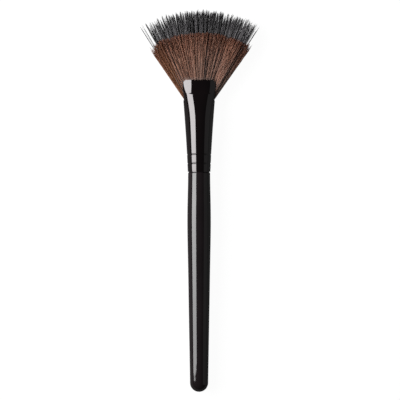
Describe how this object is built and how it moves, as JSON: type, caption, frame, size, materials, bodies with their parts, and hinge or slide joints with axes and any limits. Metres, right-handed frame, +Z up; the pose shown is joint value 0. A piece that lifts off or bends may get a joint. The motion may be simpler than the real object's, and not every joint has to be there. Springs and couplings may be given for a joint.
{
  "type": "fan makeup brush",
  "caption": "Flat fan make-up brush with a round gloss black handle, a ferrule pinched to a flat mouth, and short brown hair over longer black fibres.",
  "frame": {"origin": "middle of the brush's box on the table that it lies on", "axes": "+Y along the brush from its butt to the hair, +X across the fan, +Z up from the table, square to the fan"},
  "size_m": [0.0584, 0.1908, 0.0131],
  "materials": {
    "lacquered_wood": "high-gloss black lacquer",
    "coated_metal": "mirror-gloss black coating",
    "cured_resin": "clear amber resin",
    "brown_hair": "straight soft animal-like hair, reddish brown with pale streaks",
    "black_fibre": "fine tapered synthetic fibre, near black"
  },
  "bodies": {
    "root": {"handle": "lacquered_wood", "ferrule": "coated_metal", "glue_plug": "cured_resin", "brown_hair": "brown_hair", "black_hair": "black_fibre"}
  },
  "joints": []
}
